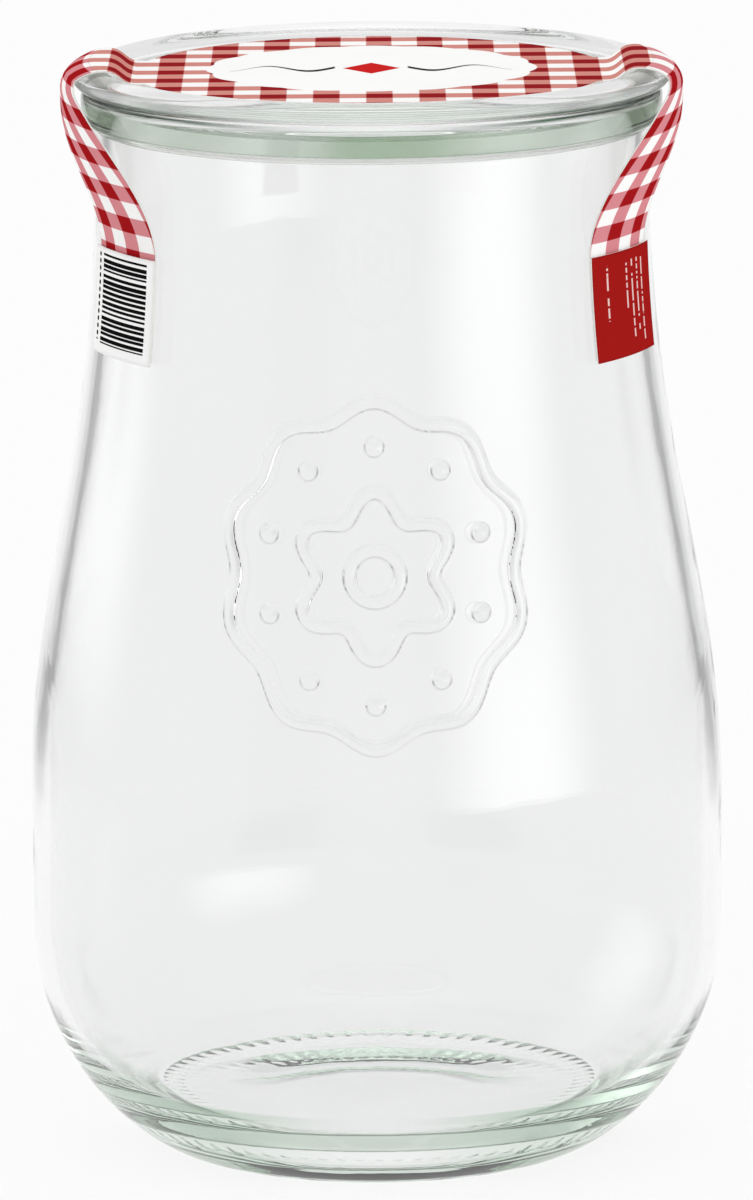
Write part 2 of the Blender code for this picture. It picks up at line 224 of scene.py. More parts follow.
# Colours of the glass: clear, deep inside, and in the rings where its edges are seen end on. The gap ring
# under the lid is painted shade; the heel and foot-edge rings are green glass with painted shade on their
# sides.
CLEAR_TINT = (0.930, 0.929, 0.932, 1.0)
GLASS_DEPTH_COLOUR = (0.86, 0.91, 0.868, 1.0)
BEAD_TINT = (0.165, 0.275, 0.153, 1.0)
# Green of thick glass at the foot's edge, darkened with painted shade
FOOT_EDGE_GREEN_AND_SHADE = (0.18, 0.28, 0.18, 1.0)
# Painted shade, nearly black, for the gap between the lid and the bead
GAP_PAINTED_SHADE = (0.006, 0.032, 0.010, 1.0)
# Green of the heel's glass, with painted shade on its sides
HEEL_GREEN_AND_SHADE = (0.55, 0.67, 0.57, 1.0)
HEEL_GREEN_AND_SHADE_TO = 0.0160
# Where the rings' side shares take over, as the sine of the angle off the front; painted shade is strongest
# there
SIDES_FROM = 0.05
SIDES_TO = 0.60
RING_SOFTNESS = 0.0003
BEAD_TINT_FROM = BEAD_BOTTOM + 0.0005
BEAD_TINT_TO = RIM_HEIGHT - 0.0015
BEAD_TINT_RADIUS = NECK_RADIUS - 0.0005
GAP_PAINTED_SHADE_DEPTH = 0.0009
LID_PAINTED_SHADE_RADIUS = LID_RADIUS - 0.0006
FOOT_EDGE_TOP = 0.0024
BELOW_ALL = -1.0
ABOVE_ALL = 1.0

# A ring's least radius, low, high, colour, share in the middle and at the sides, and whether the
# back half has it too
BODY_RINGS = (
    (BEAD_TINT_RADIUS, BEAD_TINT_FROM, BEAD_TINT_TO, BEAD_TINT, 1.0, 0.80, True),
    # Painted shade in the gap under the lid: front half only, strongest at the sides
    (BEAD_RADIUS - GAP_PAINTED_SHADE_DEPTH, RIM_HEIGHT - GAP_PAINTED_SHADE_DEPTH, ABOVE_ALL, GAP_PAINTED_SHADE, 0.0, 1.0, False),
    # Heel and foot edge: green glass with painted shade, front half only, darker at the sides
    (FOOT_RADIUS, FOOT_EDGE_TOP, HEEL_GREEN_AND_SHADE_TO, HEEL_GREEN_AND_SHADE, 0.0, 1.0, False),
    (FOOT_RADIUS, BELOW_ALL, FOOT_EDGE_TOP, FOOT_EDGE_GREEN_AND_SHADE, 0.7, 1.0, False))
# Painted shade along the lid's lower edge: front half only, almost all at the sides
LID_PAINTED_SHADE_RINGS = ((LID_PAINTED_SHADE_RADIUS, BELOW_ALL, LID_BOTTOM + GAP_PAINTED_SHADE_DEPTH, GAP_PAINTED_SHADE, 0.03, 1.0, False),)

# Body of the glass, and the faint waves and drifts in it as repeats per metre
GLASS_IOR = 1.52
BODY_DENSITY = 18.0
LID_DENSITY = 3.0
BODY_WAVINESS = 0.12
LID_WAVINESS = 0.02
WAVE_HEIGHT = 0.0006
WIDE_WAVES = 45.0
FINE_WAVES = 160.0
FINE_WAVE_SHARE = 0.15
TINT_DRIFTS = 35.0
TINT_DRIFT_LEAST = 0.75
HAZE_PATCHES = 60.0
HAZE_MOST = 0.012
FRONT_EASE = 0.012
LEAST_REACH = 0.0001

# Colours of the papers and their prints
GINGHAM_WHITE = (0.98, 0.975, 0.96, 1.0)
# One gingham print in two copies: a darker, shaded copy for the top and a lighter, lit copy for the arms, as
# painted light and shade
TOP_RED_SHADED = (0.30, 0.015, 0.019, 1.0)
TOP_PINK_SHADED = (0.66, 0.27, 0.235, 1.0)
ARM_RED_LIT = (0.365, 0.0095, 0.012, 1.0)
ARM_PINK_LIT = (0.70, 0.26, 0.285, 1.0)
PLAQUE_WHITE = (0.98, 0.98, 0.97, 1.0)
STROKE_BLACK = (0.03, 0.03, 0.03, 1.0)
LOZENGE_RED = (0.62, 0.02, 0.02, 1.0)
LABEL_WHITE = (0.98, 0.98, 0.975, 1.0)
LABEL_INK = (0.006, 0.006, 0.006, 1.0)
LABEL_RED = (0.36, 0.011, 0.010, 1.0)
RULE_PINK = (0.84, 0.58, 0.55, 1.0)
BARE_PAPER = (0.88, 0.87, 0.84, 1.0)

# Feel of the papers; fibres and clouds are repeats per metre
PAPER_IOR = 1.45
PAPER_ROUGHNESS = 0.65
RED_LABEL_ROUGHNESS = 0.45
FIBRES = 2400.0
FIBRE_DETAIL = 4.0
FIBRE_ROUGHNESS = 0.7
FIBRE_TONE = 0.96
CLOUDS = 90.0
CLOUD_TONE = 0.01
FIBRE_BUMP = 0.25
FIBRE_HEIGHT = 0.00008

# Camera
CAMERA_PLACE = Vector((0.0, -1.420, 0.410))
CAMERA_AIM = Vector((0.00023, 0.0, 0.0983))
CAMERA_ROLL = math.radians(-0.42)
LENS = 238.0
SENSOR = 36.0

# Studio
WHITE = 0.98
AMBIENT = 0.82
UPPER_GREY = 0.84
UPPER_BAND = (0.02, 0.30, 0.60, 0.90)
FLOOR_ALBEDO = 0.97
FLOOR_REACH = 0.56
FLOOR_DROP = 0.0002
FLOOR_NEAR = 0.09
FLOOR_FAR = 0.26
FLOOR_LIFT = 0.85
CARDS_NEAR = 0.24
CARDS_FAR = 0.42

# Grey cards: where their left and right halves start, are full, fade and end, as sines of the angle
# off the middle axis, and their shade. The narrow ones ease in behind the object.
WIDE_CARDS = (0.20, 0.48, 0.60, 0.72, 0.80)
NARROW_CARDS = (0.44, 0.52, 0.58, 0.66, 0.42)
BEHIND_EASE = 0.3

# Soft boxes: name, azimuth, elevation, distance, width, height and radiance
SOFT_BOXES = (
    ("right_box", 48, -4, 1.2, 1.5, 1.1, 1.25),
    ("left_box", -115, 14, 1.3, 1.2, 1.3, 0.8),
    ("top_box", 0, 88, 1.3, 1.6, 1.6, 0.85))
SOFT_BOX_FADE = 0.42


def cubic(start, pull_start, pull_end, end, steps):
    """Points of a cubic curve after its start, as (radius, height) pairs."""
    points = []
    for step in range(1, steps + 1):
        t = step / steps
        weights = ((1 - t) ** 3, 3 * (1 - t) ** 2 * t, 3 * (1 - t) * t ** 2, t ** 3)
        corners = (start, pull_start, pull_end, end)
        points.append(tuple(sum(w * c[axis] for w, c in zip(weights, corners)) for axis in (0, 1)))
    return points


def arc(centre, radius, start_degrees, end_degrees, steps=ARC_STEPS):
    """Points of an arc, both ends included; 0 degrees points outward and 90 degrees up."""
    points = []
    for step in range(steps + 1):
        angle = math.radians(start_degrees + (end_degrees - start_degrees) * step / steps)
        points.append((centre[0] + radius * math.cos(angle), centre[1] + radius * math.sin(angle)))
    return points


def line(start, end, steps):
    """Evenly spaced points after start, up to end."""
    return [(start[0] + (end[0] - start[0]) * step / steps, start[1] + (end[1] - start[1]) * step / steps)
            for step in range(1, steps + 1)]


def smooth(value, low, high):
    """0 below low, 1 above high and an eased rise between them."""
    share = np.clip((value - low) / (high - low), 0.0, 1.0)
    return share * share * (3 - 2 * share)


def inner_wall():
    """The inside of the body, from near the middle of the floor up to the mouth's rounded edge."""
    points = line((0.0, FLOOR_HEIGHT), (FLOOR_RADIUS, FLOOR_HEIGHT), FLOOR_STEPS)
    points += cubic(points[-1],
                    (FLOOR_RADIUS + FLOOR_PULL, FLOOR_HEIGHT),
                    (INNER_BELLY_RADIUS, HEEL_HEIGHT - INNER_HEEL_PULL),
                    (INNER_BELLY_RADIUS, HEEL_HEIGHT), INNER_STEPS)
    points += line(points[-1], (INNER_BELLY_RADIUS, BELLY_TOP), BELLY_STEPS)
    points += cubic(points[-1],
                    (INNER_BELLY_RADIUS, BELLY_TOP + SHOULDER_LOW_PULL),
                    (MOUTH_RADIUS, NECK_BOTTOM - SHOULDER_HIGH_PULL),
                    (MOUTH_RADIUS, NECK_BOTTOM), INNER_STEPS)
    points += line(points[-1], (MOUTH_RADIUS, RIM_HEIGHT - MOUTH_ROUND), STRAIGHT_STEPS)
    return points + arc((MOUTH_RADIUS + MOUTH_ROUND, RIM_HEIGHT - MOUTH_ROUND), MOUTH_ROUND, 180, 90)[1:]


def bead():
    """The rounded bead and the fillet under it, from the rim's top down to the neck."""
    fillet = BEAD_STAND_OUT - BEAD_UNDER_ROUND
    points = arc((BEAD_RADIUS - BEAD_TOP_ROUND, RIM_HEIGHT - BEAD_TOP_ROUND), BEAD_TOP_ROUND, 90, 0)
    points += arc((BEAD_RADIUS - BEAD_UNDER_ROUND, BEAD_BOTTOM + BEAD_UNDER_ROUND),
                  BEAD_UNDER_ROUND, 0, -90)
    return points + arc((NECK_RADIUS + fillet, BEAD_BOTTOM - fillet), fillet, 90, 180)[1:]


def outer_wall():
    """The outside of the body, from the plain neck down to the foot."""
    points = [(NECK_RADIUS, NECK_BOTTOM)]
    points += cubic(points[-1],
                    (NECK_RADIUS, NECK_BOTTOM - SHOULDER_HIGH_PULL),
                    (BELLY_RADIUS, BELLY_TOP + SHOULDER_LOW_PULL),
                    (BELLY_RADIUS, BELLY_TOP), SHOULDER_STEPS)
    points += line(points[-1], (BELLY_RADIUS, HEEL_HEIGHT), BELLY_STEPS)
    points += cubic(points[-1],
                    (BELLY_RADIUS, HEEL_HEIGHT - HEEL_TOP_PULL),
                    (FOOT_RADIUS + HEEL_SPREAD, HEEL_RISE),
                    (FOOT_RADIUS, 0.0), HEEL_STEPS)
    return points


def underside():
    """The foot ring and the hollow inside it, from the ring's outer edge towards the middle."""
    ring_inside = FOOT_RADIUS - FOOT_RING_WIDTH
    half_run = PUSH_UP_RUN / 2
    points = line((FOOT_RADIUS, 0.0), (ring_inside, 0.0), FOOT_RING_STEPS)
    points += cubic(points[-1],
                    (ring_inside - half_run, 0.0),
                    (ring_inside - half_run, PUSH_UP),
                    (ring_inside - PUSH_UP_RUN, PUSH_UP), DOME_STEPS)
    return points


def lid_top():
    """The lid's top, from the middle of its recess over the crest to its widest edge."""
    edge_height = LID_BOTTOM + LID_EDGE_ROUND
    half_run = RECESS_SLOPE_RUN / 2
    points = line((0.0, RECESS_FLOOR), (RECESS_RADIUS, RECESS_FLOOR), FLAT_STEPS)
    points += cubic(points[-1],
                    (RECESS_RADIUS + half_run, RECESS_FLOOR),
                    (CREST_RADIUS - half_run, CREST_HEIGHT),
                    (CREST_RADIUS, CREST_HEIGHT), 2 * ARC_STEPS)
    middle = ((CREST_RADIUS + LID_RADIUS) / 2, (CREST_HEIGHT + edge_height) / 2)
    points += cubic(points[-1],
                    (middle[0], CREST_HEIGHT),
                    (LID_RADIUS, middle[1]),
                    (LID_RADIUS, edge_height), 2 * ARC_STEPS)
    return points


def lid_underside():
    """The lid's lower edge, its seat and the plug that drops into the mouth."""
    points = arc((LID_RADIUS - LID_EDGE_ROUND, LID_BOTTOM + LID_EDGE_ROUND), LID_EDGE_ROUND, 0, -90)[1:]
    fillet = SEAT_FILLET
    points += line(points[-1], (PLUG_RADIUS + fillet, LID_BOTTOM), STRAIGHT_STEPS)
    points += arc((PLUG_RADIUS + fillet, LID_BOTTOM - fillet), fillet, 90, 180)[1:]
    points += arc((PLUG_RADIUS - PLUG_ROUND, PLUG_BOTTOM + PLUG_ROUND), PLUG_ROUND, 0, -90)
    return points + line(points[-1], (0.0, PLUG_BOTTOM), FLAT_STEPS)[:-1]


OUTER_WALL = outer_wall()
LID_TOP = lid_top()


def wall_radius(height):
    """Outer radius of the glass body below its bead."""
    rising = [(z, r) for r, z in reversed(OUTER_WALL)] + [(BEAD_BOTTOM, NECK_RADIUS)]
    return float(np.interp(height, [z for z, r in rising], [r for z, r in rising]))


def level_angles(count):
    """Even angles round the jar, starting at the back."""
    return np.linspace(-math.pi, math.pi, count, endpoint=False)


def graded_angles():
    """Angles round the jar, close together across the medallion and wider apart behind it."""
    half = [0.0]
    while half[-1] < math.pi:
        half.append(half[-1] + FINE_STEP
                    + (COARSE_STEP - FINE_STEP) * smooth(half[-1], FINE_REACH, COARSE_FROM))
    half = np.array(half) * math.pi / half[-1]
    return np.concatenate([-half[:0:-1], half[:-1]])


class RoundShell:
    """A closed mesh of rings round the Z axis, each joined to the one before it.

    Its attribute "moulding" holds each point's place across and up from the medallion's centre.
    """

    def __init__(self, first_height):
        self.points = [(0.0, 0.0, first_height)]
        self.moulding = [FAR_OFF]
        self.faces = []
        self.ring = None
        self.angles = None

    def add(self, angles, radii, heights, moulding=None):
        first = len(self.points)
        self.moulding += [FAR_OFF] * len(angles) if moulding is None else moulding
        radii = np.broadcast_to(radii, angles.shape)
        heights = np.broadcast_to(heights, angles.shape)
        self.points += zip(radii * np.sin(angles), -radii * np.cos(angles), heights)
        ring = list(range(first, first + len(angles)))
        if self.ring is None:
            self.faces += [(0, ring[i - 1], ring[i]) for i in range(len(ring))]
        elif len(ring) == len(self.ring):
            self.faces += [(self.ring[i - 1], self.ring[i], ring[i], ring[i - 1]) for i in range(len(ring))]
        else:
            self.zip_to(ring, angles)
        self.ring = ring
        self.angles = angles

    def zip_to(self, ring, angles):
        """Triangles between two rings of unlike counts that start at the same angle."""
        old_ends = np.append(self.angles[1:], self.angles[0] + 2 * math.pi)
        new_ends = np.append(angles[1:], angles[0] + 2 * math.pi)
        old_count, new_count = len(self.ring), len(ring)
        old = new = 0
        while old < old_count or new < new_count:
            a, b = self.ring[old % old_count], ring[new % new_count]
            if new == new_count or (old < old_count and old_ends[old] <= new_ends[new]):
                self.faces.append((a, self.ring[(old + 1) % old_count], b))
                old += 1
            else:
                self.faces.append((a, ring[(new + 1) % new_count], b))
                new += 1

    def add_profile(self, angles, profile):
        for radius, height in profile:
            self.add(angles, radius, height)

    def finish(self, name, last_height):
        self.points.append((0.0, 0.0, last_height))
        self.moulding.append(FAR_OFF)
        middle = len(self.points) - 1
        self.faces += [(self.ring[i - 1], middle, self.ring[i]) for i in range(len(self.ring))]
        mesh = bpy.data.meshes.new(name)
        mesh.from_pydata([tuple(map(float, p)) for p in self.points], [], self.faces)
        shape = bmesh.new()
        shape.from_mesh(mesh)
        bmesh.ops.recalc_face_normals(shape, faces=shape.faces)
        shape.to_mesh(mesh)
        shape.free()
        mesh.shade_smooth()
        places = mesh.attributes.new("moulding", 'FLOAT_VECTOR', 'POINT')
        places.data.foreach_set("vector", np.array(self.moulding, dtype=np.float32).ravel())
        return mesh


def new_piece(name, mesh, *finishes):
    made = bpy.data.objects.new(name, mesh)
    bpy.context.scene.collection.objects.link(made)
    for finish in finishes:
        mesh.materials.append(finish)
    return made


def medallion_lines():
    """Points along the middles of the medallion's ridges, as offsets across and up from its centre."""
    angle = np.linspace(0, 2 * math.pi, LINE_STEPS, endpoint=False)
    wave = SCALLOP_DEPTH * np.cos(SCALLOPS * angle)
    petals = ROSETTE_RADIUS + ROSETTE_PETAL_DEPTH * np.cos(ROSETTE_PETALS * angle)
    lines = [((MEDALLION_HALF_WIDTH + wave) * np.sin(angle), (MEDALLION_HALF_HEIGHT + wave) * np.cos(angle)),
             (petals * np.sin(angle), petals * np.cos(angle)),
             (EYE_RADIUS * np.sin(angle), EYE_RADIUS * np.cos(angle))]
    return np.concatenate([np.stack(pair, axis=1) for pair in lines])


def stud_centres():
    angle = np.linspace(0, 2 * math.pi, SCALLOPS, endpoint=False)
    return np.stack([(MEDALLION_HALF_WIDTH - STUD_RING_INSET) * np.sin(angle),
                     (MEDALLION_HALF_HEIGHT - STUD_RING_INSET) * np.cos(angle)], axis=1)


MEDALLION_LINES = medallion_lines()
STUD_CENTRES = stud_centres()


def nearest(across, up, places):
    """Distance from each point of a level row to the nearest of some places."""
    gaps = np.hypot(across[:, None] - places[None, :, 0], up - places[None, :, 1])
    return gaps.min(axis=1)


def relief(angles, height):
    """How far the moulded medallion stands out of the wall round one level ring."""
    raised = np.zeros(len(angles))
    up = height - MEDALLION_HEIGHT
    if abs(up) > MEDALLION_HALF_HEIGHT + MEDALLION_MARGIN:
        return raised
    across = angles * wall_radius(height)
    near = np.abs(across) < MEDALLION_HALF_WIDTH + MEDALLION_MARGIN
    to_line = nearest(across[near], up, MEDALLION_LINES) / (RIDGE_WIDTH / 2)
    to_stud = nearest(across[near], up, STUD_CENTRES) / STUD_RADIUS
    ridge = RIDGE_HEIGHT * (1 - to_line ** 2)
    stud = STUD_DEPTH * np.sqrt(np.clip(1 - to_stud ** 2, 0, 1)) - (STUD_DEPTH - RIDGE_HEIGHT)
    raised[near] = np.clip(np.maximum(ridge, stud), 0, None)
    return raised


def foot_bars(angles, radius):
    """How far the grooves between the foot ring's bars rise above the ground."""
    ring_inside = FOOT_RADIUS - FOOT_RING_WIDTH
    on_ring = (smooth(radius, ring_inside, ring_inside + FOOT_BAR_INSET)
               * (1 - smooth(radius, FOOT_RADIUS - FOOT_BAR_INSET, FOOT_RADIUS)))
    return FOOT_BAR_DEPTH * on_ring * smooth(np.cos(FOOT_BARS * angles), -FOOT_BAR_SLOPE, FOOT_BAR_SLOPE)


def make_jar_body(finish):
    shell = RoundShell(FLOOR_HEIGHT)
    shell.add_profile(level_angles(ROUND_STEPS), inner_wall())
    front_angles = graded_angles()
    for radius, height in bead() + OUTER_WALL:
        up = height - MEDALLION_HEIGHT
        moulding = [(angle * wall_radius(height), up if abs(angle) < FINE_REACH else FAR_OFF[1], 0.0)
                    for angle in front_angles]
        shell.add(front_angles, radius + relief(front_angles, height), height, moulding)
    foot_angles = level_angles(FOOT_STEPS)
    for radius, height in underside():
        shell.add(foot_angles, radius, height + foot_bars(foot_angles, radius))
    body = new_piece("glass_body", shell.finish("glass_body", PUSH_UP), finish)
    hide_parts("jar_body")
    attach(body, "jar")


def make_lid(finish):
    shell = RoundShell(RECESS_FLOOR)
    shell.add_profile(level_angles(ROUND_STEPS), LID_TOP + lid_underside())
    lid = new_piece("glass_lid", shell.finish("glass_lid", PLUG_BOTTOM), finish)
    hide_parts("lid")
    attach(lid, "lid")


def over_edge_height(radius):
    """Height of the band where it curves out past the crest, as a quarter of an ellipse."""
    crest = CREST_HEIGHT + PAPER_GAP
    share = np.clip((radius - CREST_RADIUS) / (ARM_SIDE_RADIUS - CREST_RADIUS), 0, 1)
    return RIM_HEIGHT + (crest - RIM_HEIGHT) * np.sqrt(1 - share ** 2)


def over_edge_radius(height):
    """The same quarter ellipse, read by height."""
    crest = CREST_HEIGHT + PAPER_GAP
    share = (height - RIM_HEIGHT) / (crest - RIM_HEIGHT)
    return CREST_RADIUS + (ARM_SIDE_RADIUS - CREST_RADIUS) * math.sqrt(1 - share ** 2)


FOLD_HEIGHT = float(over_edge_height(FOLD_RADIUS))


def band_height(x, y):
    """Height of the band's lower face above a point of the lid."""
    radius = math.hypot(x, y)
    if radius > CREST_RADIUS:
        return float(over_edge_height(radius))
    highest_under_line = min(CREST_RADIUS, math.hypot(x, ARM_WIDTH / 2))
    return float(np.interp(highest_under_line, [r for r, z in LID_TOP], [z for r, z in LID_TOP])) + PAPER_GAP


def arm_radius(height):
    """Radius of the face of an arm that lies towards the glass."""
    if height > RIM_HEIGHT:
        return over_edge_radius(height)
    if height <= LABEL_TOP:
        return wall_radius(height) + PAPER_GAP
    share = ((RIM_HEIGHT - height) / (RIM_HEIGHT - LABEL_TOP)) ** HANG_EASE
    ease = share * share * (3 - 2 * share)
    return ARM_SIDE_RADIUS + (wall_radius(LABEL_TOP) + PAPER_GAP - ARM_SIDE_RADIUS) * ease


def down_arm(height):
    """Share of the way from the fold to the label."""
    return min(1.0, (FOLD_HEIGHT - height) / (FOLD_HEIGHT - LABEL_TOP))


def arm_lean(height):
    return ARM_LEAN * (1 - (1 - down_arm(height)) ** LEAN_EASE)


def arm_width(height):
    return ARM_END_WIDTH + (ARM_WIDTH - ARM_END_WIDTH) * (1 - down_arm(height)) ** 2


class Sheet:
    """A paper sheet made of rows of (point, print place) pairs; the print place is in metres."""

    def __init__(self):
        self.rows = []

    def add(self, row):
        self.rows.append(row)

    def finish(self, name, face, back, facing):
        columns = len(self.rows[0])
        points = [point for row in self.rows for point, place in row]
        places = [place for row in self.rows for point, place in row]
        faces = []
        for row in range(len(self.rows) - 1):
            for column in range(columns - 1):
                first = row * columns + column
                faces.append((first, first + 1, first + columns + 1, first + columns))
        mesh = bpy.data.meshes.new(name)
        mesh.from_pydata(points, [], faces)
        middle = mesh.polygons[len(faces) // 2]
        if middle.normal.dot(facing) < 0:
            mesh.flip_normals()
        layer = mesh.uv_layers.new(name="print")
        for loop in mesh.loops:
            layer.data[loop.index].uv = places[loop.vertex_index]
        mesh.shade_smooth()
        made = new_piece(name, mesh, face, back)
        thickness = made.modifiers.new("Paper", 'SOLIDIFY')
        thickness.thickness = PAPER
        thickness.offset = 1.0
        thickness.use_even_offset = True
        thickness.material_offset = 1
        thickness.material_offset_rim = 1
        return made


def strip_travel(x):
    """Length of paper from the disc's middle to a place on the band's long axis."""
    steps = np.linspace(0, abs(x), TRAVEL_STEPS)
    heights = [band_height(step, 0.0) for step in steps]
    return math.copysign(float(np.hypot(np.diff(steps), np.diff(heights)).sum()), x)


def make_band_top(face, back):
    """The disc in the lid's recess with the two strips that run from it over the crest."""
    half_width = ARM_WIDTH / 2
    join = math.sqrt(DISC_RADIUS ** 2 - half_width ** 2)
    across = np.linspace(-1, 1, PAPER_COLUMNS + 1)
    strip = []
    for share in np.linspace(1, 0, STRIP_ROWS, endpoint=False):
        y = across * half_width
        x = join + share * (np.sqrt(SEAM_RADIUS ** 2 - y ** 2) - join)
        strip.append((x, y))
    half_turn = math.acos(join / DISC_RADIUS)
    disc = []
    for angle in np.linspace(half_turn, math.pi - half_turn, DISC_ROWS):
        x = np.full(len(across), DISC_RADIUS * math.cos(angle))
        disc.append((x, across * DISC_RADIUS * math.sin(angle)))
    far_strip = [(-x, y) for x, y in strip[::-1]]
    sheet = Sheet()
    for xs, ys in strip + disc + far_strip:
        sheet.add([((x, y, band_height(x, y)), (strip_travel(x), y)) for x, y in zip(xs, ys)])
    top = sheet.finish("gingham_top", face, back, Vector((0, 0, 1)))
    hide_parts("band_top")
    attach(top, "lid")


def arm_row(side, radius, height, angles, travel, across):
    """One level row of an arm; the angles run from the back edge to the front edge."""
    return [((side * radius * math.cos(angle), -radius * math.sin(angle), height), (side * travel, -place))
            for angle, place in zip(angles, across)]


def make_arm(side, body, node, face, back):
    """One arm of the band, from the seam past the lid's crest over the fold down to its end."""
    across = np.linspace(-0.5, 0.5, PAPER_COLUMNS + 1)
    sheet = Sheet()
    seam_angles = np.arcsin(across * ARM_WIDTH / SEAM_RADIUS)
    travel = strip_travel(SEAM_RADIUS)
    last = (SEAM_RADIUS, float(over_edge_height(SEAM_RADIUS)))
    for share in np.linspace(0, 1, FOLD_ROWS):
        radius = SEAM_RADIUS + (FOLD_RADIUS - SEAM_RADIUS) * share
        height = float(over_edge_height(radius))
        travel += math.hypot(radius - last[0], height - last[1])
        angles = (1 - share) * seam_angles + share * across * ARM_WIDTH / FOLD_RADIUS
        sheet.add(arm_row(side, radius, height, angles, travel, across * ARM_WIDTH))
        last = (radius, height)
    end = LABEL_BOTTOM + ARM_END_MARGIN
    for share in np.linspace(0, 1, ARM_ROWS)[1:]:
        height = FOLD_HEIGHT + (end - FOLD_HEIGHT) * share
        radius = arm_radius(height)
        width = arm_width(height)
        travel += math.hypot(radius - last[0], height - last[1]) * STRIPE_ALONG / STRIPE_DOWN_ARM
        angles = arm_lean(height) + across * width / radius
        ease = down_arm(height)
        places = across * width * (1 + (ARM_PRINT_SCALE - 1) * ease) - ARM_PRINT_SHIFT * ease
        sheet.add(arm_row(side, radius, height, angles, travel, places))
        last = (radius, height)
    arm = sheet.finish("gingham_" + body, face, back, Vector((side, 0, 0)))
    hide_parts(node)
    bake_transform(arm)


def make_end_label(side, body, node, face, back):
    """The label glued over the end of an arm."""
    across = np.linspace(-0.5, 0.5, PAPER_COLUMNS + 1)
    sheet = Sheet()
    for height in np.linspace(LABEL_TOP, LABEL_BOTTOM, LABEL_ROWS):
        radius = wall_radius(height) + PAPER_GAP + PAPER + PAPER_GAP
        angles = ARM_LEAN + across * LABEL_WIDTH / radius
        row = arm_row(side, radius, height, angles, 0.0, across)
        sheet.add([(point, (-place[1] * LABEL_WIDTH, LABEL_TOP - height)) for point, place in row])
    label = sheet.finish(node.replace("end_label", "paper_label"), face, back, Vector((side, 0, 0)))
    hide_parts(node)
    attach(label, body)


class Graph:
    """Short calls for building one tree of shader nodes. A value is a number or another node's socket.

    A Mix node takes its share at socket 0, two numbers at 2 and 3, and two colours at 6 and 7.
    """

    def __init__(self, owner):
        owner.use_nodes = True
        self.tree = owner.node_tree
        self.tree.nodes.clear()

    def node(self, kind, inputs=(), **settings):
        made = self.tree.nodes.new(kind)
        for name, value in settings.items():
            setattr(made, name, value)
        for key, value in dict(inputs).items():
            self.set(made.inputs[key], value)
        return made

    def set(self, socket, value):
        if isinstance(value, bpy.types.NodeSocket):
            self.tree.links.new(value, socket)
        else:
            socket.default_value = value

    def math(self, operation, a, b=0.0):
        return self.node('ShaderNodeMath', {0: a, 1: b}, operation=operation).outputs[0]

    def length(self, a, b):
        return self.math('SQRT', self.math('ADD', self.math('MULTIPLY', a, a), self.math('MULTIPLY', b, b)))

    def step(self, value, low, high, to_low=0.0, to_high=1.0):
        """An eased rise from to_low to to_high while value goes from low to high."""
        made = self.node('ShaderNodeMapRange',
                         {"Value": value, "From Min": low, "From Max": high,
                          "To Min": to_low, "To Max": to_high},
                         interpolation_type='SMOOTHSTEP')
        return made.outputs["Result"]

    def mix(self, share, a, b, blend_type='MIX'):
        made = self.node('ShaderNodeMix', {0: share, 6: a, 7: b}, data_type='RGBA', blend_type=blend_type)
        return made.outputs[2]

    def blend_numbers(self, share, a, b):
        return self.node('ShaderNodeMix', {0: share, 2: a, 3: b}, data_type='FLOAT').outputs[0]

    def noise(self, place, scale, detail=2.0, roughness=0.5):
        made = self.node('ShaderNodeTexNoise',
                         {"Vector": place, "Scale": scale, "Detail": detail, "Roughness": roughness})
        return made.outputs["Fac"]

    def object_place(self):
        return self.node('ShaderNodeTexCoord').outputs["Object"]

    def axes(self, place):
        return self.node('ShaderNodeSeparateXYZ', {0: place}).outputs

    def bump(self, height, strength, distance, **others):
        inputs = {"Height": height, "Strength": strength, "Distance": distance, **others}
        return self.node('ShaderNodeBump', inputs).outputs["Normal"]

    def output(self, kind, **sockets):
        self.node(kind, sockets)


def grey(value):
    return (value, value, value, 1.0)


def within(graph, value, low, high, soften=0.00005):
    """1 while value lies between low and high."""
    return graph.math('MULTIPLY', graph.step(value, low - soften, low + soften),
                      graph.step(value, high - soften, high + soften, 1.0, 0.0))


